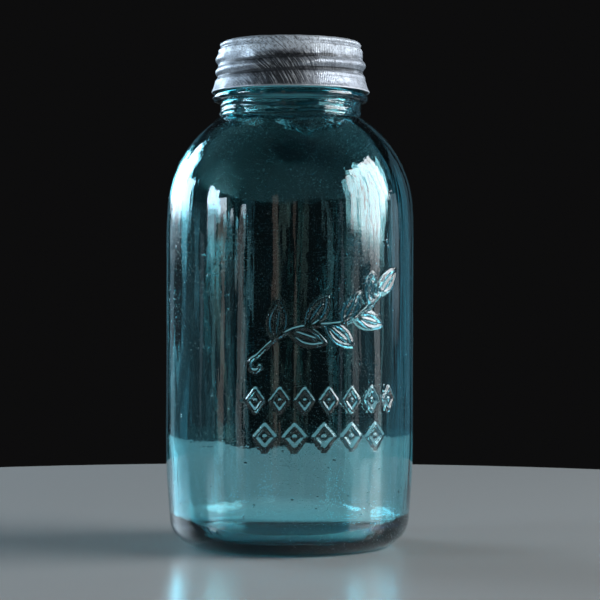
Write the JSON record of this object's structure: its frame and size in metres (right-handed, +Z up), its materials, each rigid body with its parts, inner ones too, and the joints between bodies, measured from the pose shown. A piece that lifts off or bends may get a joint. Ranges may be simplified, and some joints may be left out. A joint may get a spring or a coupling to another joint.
{
  "type": "mason jar",
  "caption": "Half-gallon aqua glass mason jar with an embossed front, closed by an oxidised zinc screw cap with an opal glass liner and a rubber sealing ring.",
  "frame": {"origin": "centre of the ring that the jar stands on, at the level of the surface under it", "axes": "+Z up along the jar's axis, -Y out of the decorated front, +X to the right seen from the front"},
  "size_m": [0.1174, 0.1174, 0.2392],
  "materials": {
    "aqua_glass": "clear blue-green pressed glass, slightly wavy, with seeds",
    "zinc": "dull oxidised zinc sheet, chalky grey with brush marks and dark bands in the rolled thread",
    "opal_glass": "opaque milk-white pressed glass",
    "grey_rubber": "matt aged rubber"
  },
  "bodies": {
    "jar": {"glass_jar": "aqua_glass", "rubber_ring": "grey_rubber"},
    "liner": {"glass_liner": "opal_glass"},
    "cap": {"zinc_cap": "zinc"}
  },
  "joints": [
    {"name": "cap_rise", "type": "slide", "parent": "jar", "child": "liner", "axis": [0, 0, 1], "range_m": [0, 0.0256]},
    {"name": "cap_turn", "type": "hinge", "parent": "liner", "child": "cap", "pos_m": [0, 0, 0.225], "axis": [0, 0, 1], "range_deg": [0, 1440]}
  ],
  "couplings": [
    {"joint": "cap_rise", "follows": "cap_turn", "m_per_rad": 0.0010106}
  ]
}
